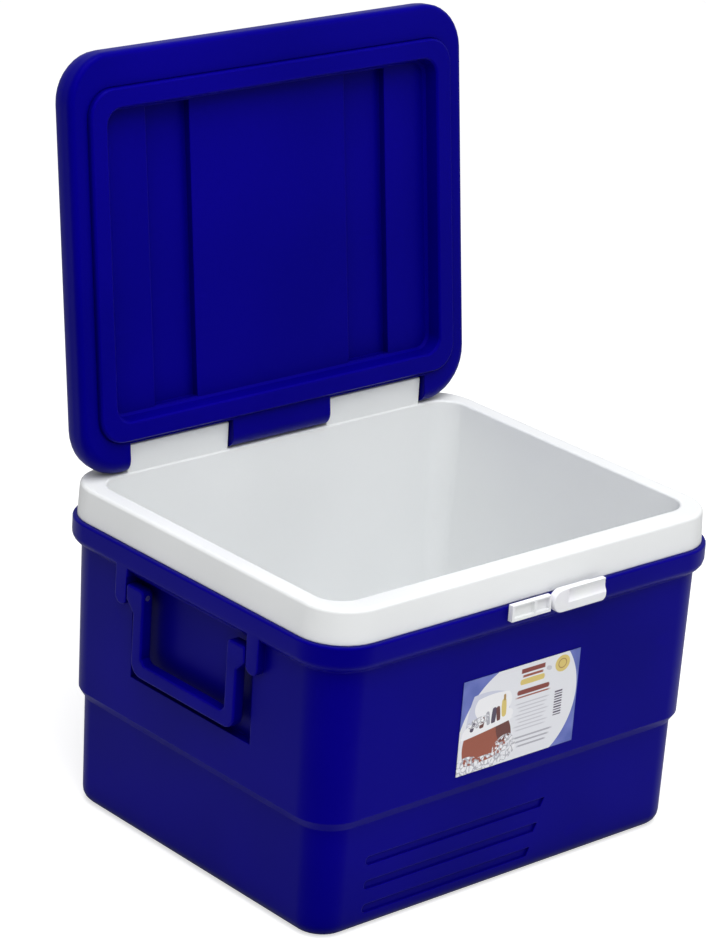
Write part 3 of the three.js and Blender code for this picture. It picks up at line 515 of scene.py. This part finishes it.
def printed_label(name, corner, look):
    """Printed film: pale panel on a blue ground, a box of ice, bars and plain rows of marks."""
    material, tree, shader = new_material(name)
    coordinates = node(tree, "ShaderNodeTexCoord")
    split = node(tree, "ShaderNodeSeparateXYZ")
    tree.links.new(coordinates.outputs["Object"], split.inputs[0])
    flat = node(tree, "ShaderNodeCombineXYZ")
    for axis, target, origin in (("X", "X", corner.x), ("Z", "Y", corner.z)):
        moved = math_node(tree, "SUBTRACT", split.outputs[axis], origin)
        tree.links.new(math_node(tree, "DIVIDE", moved, MM), flat.inputs[target])
    vector = flat.outputs[0]

    def mask_of(across, up, half_width, half_height, tilt=0.0, roundness=0.0):
        patch = place_group(tree, group("patch"), vector, half_width=half_width,
                            half_height=half_height, tilt=-math.radians(tilt), round=roundness)
        patch.inputs["Centre"].default_value = (across, up, 0.0)
        return patch.outputs["Mask"]

    sides = [math_node(tree, "MAXIMUM", mask_of(*disc, 0, 1.0), mask_of(*half))
             for disc, half in PANEL_SIDES]
    panel = math_node(tree, "MULTIPLY", *sides)
    drift = ramp_value(tree, noise(tree, vector, GROUND_SCALE, 1.0), *DRIFT_RANGE)
    ground = mix_colour(tree, drift, tuple(look.ground_deep), tuple(look.ground))
    colour = mix_colour(tree, panel, ground, PAPER)
    for across, up, half_width, half_height, tilt, roundness, paint in label_shapes():
        mask = mask_of(across, up, half_width, half_height, tilt, roundness)
        colour = mix_colour(tree, mask, colour, paint)
    ice = node(tree, "ShaderNodeTexVoronoi", feature="DISTANCE_TO_EDGE")
    ice.inputs["Scale"].default_value = ICE_SCALE
    tree.links.new(vector, ice.inputs["Vector"])
    cracks = ramp_value(tree, ice.outputs["Distance"], *ICE_CRACK)
    facets = mix_colour(tree, cracks, GREY, PAPER_BRIGHT)
    for heap in ICE_HEAPS:
        mask = mask_of(*heap, 0.8)
        speckle = ramp_value(tree, noise(tree, vector, SPECKLE_SCALE), 0.42, 0.5)
        colour = mix_colour(tree, math_node(tree, "MULTIPLY", mask, speckle), colour, facets)
    halftone = ramp_value(tree, noise(tree, vector, HALFTONE_SCALE), *DRIFT_RANGE,
                          0.0, HALFTONE_SHARE)
    colour = mix_colour(tree, halftone, colour, GREY)
    tree.links.new(colour, shader.inputs["Base Color"])
    gloss = ramp_value(tree, noise(tree, vector, FILM_SCALE, 3.0), *GRAIN_RANGE, *FILM_ROUGHNESS)
    tree.links.new(gloss, shader.inputs["Roughness"])
    normal = bump_normal(tree, noise(tree, vector, FILM_WAVE_SCALE), 0.25, 0.0001)
    tree.links.new(normal, shader.inputs["Normal"])
    shader.inputs["Specular IOR Level"].default_value = FILM_SPECULAR
    return material


# ---- pieces ----

def body_of_node(name):
    """The body that a node rides on."""
    for body, nodes in frame["record"]["behaviour"]["bodies"].items():
        if name in nodes:
            return body
    raise ValueError(f"no body holds {name}")


def smooth_piece(name, material):
    """A welded copy of a node's mesh with smooth curves and flat faces, which stands for it."""
    shape = bmesh.new()
    shape.from_mesh(NODES[name].data)
    bmesh.ops.remove_doubles(shape, verts=shape.verts, dist=WELD_DISTANCE)
    bmesh.ops.dissolve_degenerate(shape, edges=shape.edges, dist=SLIVER_LENGTH)
    for edge in shape.edges:
        edge.smooth = len(edge.link_faces) == 2 and edge.calc_face_angle(0.0) < SMOOTH_ANGLE
    for face in shape.faces:
        face.smooth = True
        face.material_index = 0
    mesh = bpy.data.meshes.new(name + "_skin")
    shape.to_mesh(mesh)
    shape.free()
    mesh.materials.clear()
    mesh.materials.append(material)
    piece = bpy.data.objects.new(name + "_skin", mesh)
    bpy.context.scene.collection.objects.link(piece)
    weighted = piece.modifiers.new("Flat faces", "WEIGHTED_NORMAL")
    weighted.keep_sharp = True
    weighted.weight = FLAT_FACE_WEIGHT
    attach(piece, body_of_node(name))
    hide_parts(name)
    return piece


def paint_node(name, material):
    """A node as it is, in a new finish."""
    mesh = NODES[name].data
    mesh.materials.clear()
    mesh.materials.append(material)


# ---- properties ----

def colour_property(name, text, default):
    """A colour setting with its opacity."""
    return bpy.props.FloatVectorProperty(name=name, description=text, default=default, size=4,
                                         min=0.0, max=1.0, subtype="COLOR")


class CoolerPlastics(bpy.types.PropertyGroup):
    """Colours and gloss of the moulded parts."""

    shell: colour_property("Shell", "Blue of the tub, lid and handles", (0.0016, 0.0, 0.208, 1.0))
    shell_deep: colour_property("Shell Deep", "Darker drift in the blue", (0.001, 0.0, 0.178, 1.0))
    shell_worn: colour_property("Shell Worn", "Blue along rubbed edges", (0.006, 0.001, 0.40, 1.0))
    liner: colour_property("Liner", "White of the liner and rim", (0.82, 0.835, 0.84, 1.0))
    liner_deep: colour_property("Liner Deep", "Greyer drift in the white", (0.78, 0.795, 0.80, 1.0))
    liner_worn: colour_property("Liner Worn", "White along rubbed edges", (0.87, 0.88, 0.885, 1.0))
    latch: colour_property("Latch", "White of the latch", (0.80, 0.80, 0.84, 1.0))
    gloss: bpy.props.FloatProperty(
        name="Shell Roughness", description="Roughness of the blue plastic", default=0.33,
        min=0.05, max=1.0, subtype="FACTOR")
    liner_gloss: bpy.props.FloatProperty(
        name="Liner Roughness", description="Roughness of the white plastic", default=0.38,
        min=0.05, max=1.0, subtype="FACTOR")


class CoolerLabel(bpy.types.PropertyGroup):
    """Ground colours of the printed label."""

    ground: colour_property("Ground", "Blue in the label's corners", (0.15, 0.19, 0.56, 1.0))
    ground_deep: colour_property(
        "Ground Deep", "Darker drift of the ground", (0.08, 0.12, 0.44, 1.0))


class CoolerStage(bpy.types.PropertyGroup):
    """Floor, lights and camera."""

    floor: colour_property("Floor", "Colour of the floor", (0.62, 0.62, 0.62, 1.0))
    floor_glow: bpy.props.FloatProperty(
        name="Floor Glow", description="Brightness added to the floor as it is seen",
        default=0.62, min=0.0)
    floor_size: bpy.props.FloatProperty(
        name="Floor Size", description="Side of the square floor", default=16.0, unit="LENGTH")
    sky: bpy.props.FloatProperty(
        name="Sky", description="Strength of the even white light", default=0.45, min=0.0)
    key: bpy.props.FloatProperty(
        name="Key Light", description="Power of the large light at the upper left", default=37.0,
        unit="POWER")
    fill: bpy.props.FloatProperty(
        name="Fill Light", description="Power of the light at the right", default=9.0, unit="POWER")
    top: bpy.props.FloatProperty(
        name="Top Light", description="Power of the light overhead", default=72.0, unit="POWER")
    lens: bpy.props.FloatProperty(
        name="Lens", description="Focal length of the camera", default=140.19,
        subtype="DISTANCE_CAMERA")


# ---- operators ----

def blue_plastic(context, name, **changes):
    """Blue moulded plastic in the shell's colours."""
    look = context.scene.cooler_plastics
    colours = (look.shell, look.shell_deep, look.shell_worn)
    # painted shade: the blue parts get their recesses darkened in the base colour
    return moulded_plastic(name, colours, look.gloss, BLUE_SPECULAR, BLUE_TINT,
                           painted_shade=BLUE_PAINTED_SHADE, **changes)


class COOLER_OT_shell(bpy.types.Operator):
    """Give the tub its satin blue moulded finish"""

    bl_idname = "cooler.shell"
    bl_label = "Tub Shell"

    def execute(self, context):
        material = blue_plastic(context, "Blue tub plastic")
        for name in SHELL_NODES:
            smooth_piece(name, material)
        return {"FINISHED"}


class COOLER_OT_lid(bpy.types.Operator):
    """Give the lid's cover and inner panel their blue moulded finish"""

    bl_idname = "cooler.lid"
    bl_label = "Lid"

    def execute(self, context):
        material = blue_plastic(context, "Blue lid plastic", ripple=6.0, share=0.7, depth=0.00009)
        for name in LID_NODES:
            smooth_piece(name, material)
        return {"FINISHED"}


class COOLER_OT_handles(bpy.types.Operator):
    """Give the two bail handles their blue finish, a little more rubbed than the tub"""

    bl_idname = "cooler.handles"
    bl_label = "Bail Handles"

    def execute(self, context):
        material = blue_plastic(
            context, "Blue handle plastic", ripple=30.0, edge=0.0018, scuffs=0.16)
        for name in HANDLE_NODES:
            smooth_piece(name, material)
        return {"FINISHED"}


class COOLER_OT_liner(bpy.types.Operator):
    """Give the liner and rim their satin white finish"""

    bl_idname = "cooler.liner"
    bl_label = "Liner and Rim"

    def execute(self, context):
        look = context.scene.cooler_plastics
        colours = (look.liner, look.liner_deep, look.liner_worn)
        material = moulded_plastic(
            "White liner plastic", colours, look.liner_gloss, WHITE_SPECULAR, WHITE_TINT,
            ripple=7.0, share=0.7, edge=0.0016)
        for name in LINER_NODES:
            smooth_piece(name, material)
        return {"FINISHED"}


class COOLER_OT_latch(bpy.types.Operator):
    """Give the latch socket and lever their white finish"""

    bl_idname = "cooler.latch"
    bl_label = "Latch"

    def execute(self, context):
        look = context.scene.cooler_plastics
        colours = (look.latch, look.liner, look.liner_worn)
        material = moulded_plastic(
            "White latch plastic", colours, look.liner_gloss, WHITE_SPECULAR, WHITE_TINT,
            grain=1400.0, ripple=60.0, edge=0.0008)
        for name in LATCH_NODES:
            smooth_piece(name, material)
        return {"FINISHED"}


class COOLER_OT_pins(bpy.types.Operator):
    """Give the hinge, handle and latch pins a drawn steel finish"""

    bl_idname = "cooler.pins"
    bl_label = "Pins"

    def execute(self, context):
        along_x = drawn_steel("Drawn steel along X", "X")
        along_y = drawn_steel("Drawn steel along Y", "Y")
        for name in HINGE_PINS:
            smooth_piece(name, along_x)
        for name in HANDLE_PINS + ("latch_pin",):
            smooth_piece(name, along_y)
        return {"FINISHED"}


class COOLER_OT_foam(bpy.types.Operator):
    """Give the hidden insulation boards a beaded foam finish"""

    bl_idname = "cooler.foam"
    bl_label = "Insulation"

    def execute(self, context):
        material = beaded_foam("Beaded foam")
        for name in FOAM_NODES:
            paint_node(name, material)
        return {"FINISHED"}


class COOLER_OT_label(bpy.types.Operator):
    """Print the label on the front of the tub"""

    bl_idname = "cooler.label"
    bl_label = "Front Label"

    def execute(self, context):
        low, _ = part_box(LABEL_NODE)
        paint_node(LABEL_NODE, printed_label("Printed label", low, context.scene.cooler_label))
        return {"FINISHED"}


def look_at(place, target):
    """A matrix at a place whose -Z looks at a target, with +Y up."""
    turn = (Vector(target) - Vector(place)).to_track_quat("-Z", "Y")
    return Matrix.Translation(place) @ turn.to_matrix().to_4x4()


def area_light(name, place, target, size, power):
    """A soft rectangular light at a place, turned to a target."""
    data = bpy.data.lights.new(name, "AREA")
    data.shape = "RECTANGLE"
    data.size, data.size_y = size
    data.energy = power
    light = bpy.data.objects.new(name, data)
    bpy.context.scene.collection.objects.link(light)
    light.matrix_world = look_at(place, target)
    return light


# Soft lights: name, power setting, place, size across and up.
LIGHTS = (
    ("Key light", "key", (-1.7, -2.5, 3.1), (1.6, 1.6)),
    ("Fill light", "fill", (2.4, -2.6, 1.3), (1.6, 2.2)),
    ("Top light", "top", (-0.3, -0.7, 3.0), (2.2, 2.2)),
)
TOP_LIGHT_TARGET = (0.0, 0.0, 0.2)
FLOOR_SHADE = 0.985  # darker drift of the floor
FLOOR_ROUGHNESS = 0.85
FLOOR_SPECULAR = 0.1
CAMERA_PLACE = Vector((-1.98822, -2.14947, 1.43882))
CAMERA_RIGHT = Vector((0.7566, -0.6510, 0.0620))
CAMERA_UP = Vector((0.1899, 0.3095, 0.9317))


class COOLER_OT_stage(bpy.types.Operator):
    """Build the floor, the lights and the camera"""

    bl_idname = "cooler.stage"
    bl_label = "Stage"

    def execute(self, context):
        look = context.scene.cooler_stage
        self.add_floor(look)
        self.add_lights(context, look)
        self.add_camera(context, look)
        return {"FINISHED"}

    def add_floor(self, look):
        shape = bmesh.new()
        bmesh.ops.create_grid(shape, x_segments=4, y_segments=4, size=look.floor_size / 2)
        mesh = bpy.data.meshes.new("floor")
        shape.to_mesh(mesh)
        shape.free()
        material, tree, shader = new_material("Pale floor")
        tone = ramp_value(tree, noise(tree, object_vector(tree), 3.0, 3.0), *GRAIN_RANGE)
        colour = tuple(look.floor)
        shade = tuple(c * FLOOR_SHADE for c in colour[:3]) + (1.0,)
        tree.links.new(mix_colour(tree, tone, shade, colour), shader.inputs["Base Color"])
        shader.inputs["Roughness"].default_value = FLOOR_ROUGHNESS
        shader.inputs["Emission Color"].default_value = (1.0, 1.0, 1.0, 1.0)
        path = node(tree, "ShaderNodeLightPath")
        seen = math_node(tree, "MULTIPLY", path.outputs["Is Camera Ray"], look.floor_glow)
        tree.links.new(seen, shader.inputs["Emission Strength"])
        shader.inputs["Specular IOR Level"].default_value = FLOOR_SPECULAR
        mesh.materials.append(material)
        floor = bpy.data.objects.new("floor", mesh)
        bpy.context.scene.collection.objects.link(floor)
        floor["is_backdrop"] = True

    def add_lights(self, context, look):
        middle = (CAD_LOW + CAD_HIGH) / 2
        for name, setting, place, size in LIGHTS:
            target = TOP_LIGHT_TARGET if setting == "top" else middle
            area_light(name, place, target, size, getattr(look, setting))
        world = bpy.data.worlds.new("Even white")
        world.use_nodes = True
        tree = world.node_tree
        sky = tree.nodes["Background"]
        sky.inputs["Color"].default_value = (1.0, 1.0, 1.0, 1.0)
        seen = node(tree, "ShaderNodeLightPath").outputs["Is Camera Ray"]
        tree.links.new(ramp_value(tree, seen, 0.0, 1.0, look.sky, 1.0), sky.inputs["Strength"])
        context.scene.world = world
        context.scene.view_settings.view_transform = "Standard"

    def add_camera(self, context, look):
        data = bpy.data.cameras.new("Camera")
        data.lens = look.lens
        data.sensor_width = 36.0
        data.clip_end = 100.0
        camera = bpy.data.objects.new("Camera", data)
        context.scene.collection.objects.link(camera)
        right = CAMERA_RIGHT.normalized()
        back = right.cross(CAMERA_UP).normalized()
        up = back.cross(right)
        turn = Matrix((right, up, back)).transposed().to_4x4()
        camera.matrix_world = Matrix.Translation(CAMERA_PLACE) @ turn
        context.scene.camera = camera


PIECE_OPERATORS = (
    COOLER_OT_shell, COOLER_OT_lid, COOLER_OT_handles, COOLER_OT_liner, COOLER_OT_latch,
    COOLER_OT_pins, COOLER_OT_foam, COOLER_OT_label, COOLER_OT_stage,
)


class COOLER_PT_panel(bpy.types.Panel):
    """Sizes, colours and builders of the cooler chest"""

    bl_idname = "COOLER_PT_panel"
    bl_label = "Cooler Chest"
    bl_space_type = "VIEW_3D"
    bl_region_type = "UI"
    bl_category = "Cooler"

    def draw(self, context):
        layout = self.layout
        for pointer in ("cooler_plastics", "cooler_label", "cooler_stage"):
            settings = getattr(context.scene, pointer)
            box = layout.box()
            for key in settings.bl_rna.properties.keys():
                if key not in ("rna_type", "name"):
                    box.prop(settings, key)
        for operator in PIECE_OPERATORS:
            layout.operator(operator.bl_idname)


SETTINGS = {
    "cooler_plastics": CoolerPlastics,
    "cooler_label": CoolerLabel,
    "cooler_stage": CoolerStage,
}
CLASSES = (*SETTINGS.values(), *PIECE_OPERATORS, COOLER_PT_panel)


def register():
    """Add the settings, the operators and the panel."""
    for cls in CLASSES:
        bpy.utils.register_class(cls)
    for name, cls in SETTINGS.items():
        setattr(bpy.types.Scene, name, bpy.props.PointerProperty(type=cls))


def unregister():
    """Take away what register added."""
    for name in SETTINGS:
        delattr(bpy.types.Scene, name)
    for cls in reversed(CLASSES):
        bpy.utils.unregister_class(cls)


def main():
    """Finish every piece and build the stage."""
    register()
    bpy.ops.cooler.shell()
    bpy.ops.cooler.lid()
    bpy.ops.cooler.handles()
    bpy.ops.cooler.liner()
    bpy.ops.cooler.latch()
    bpy.ops.cooler.pins()
    bpy.ops.cooler.foam()
    bpy.ops.cooler.label()
    bpy.ops.cooler.stage()


if __name__ == "__main__":
    main()
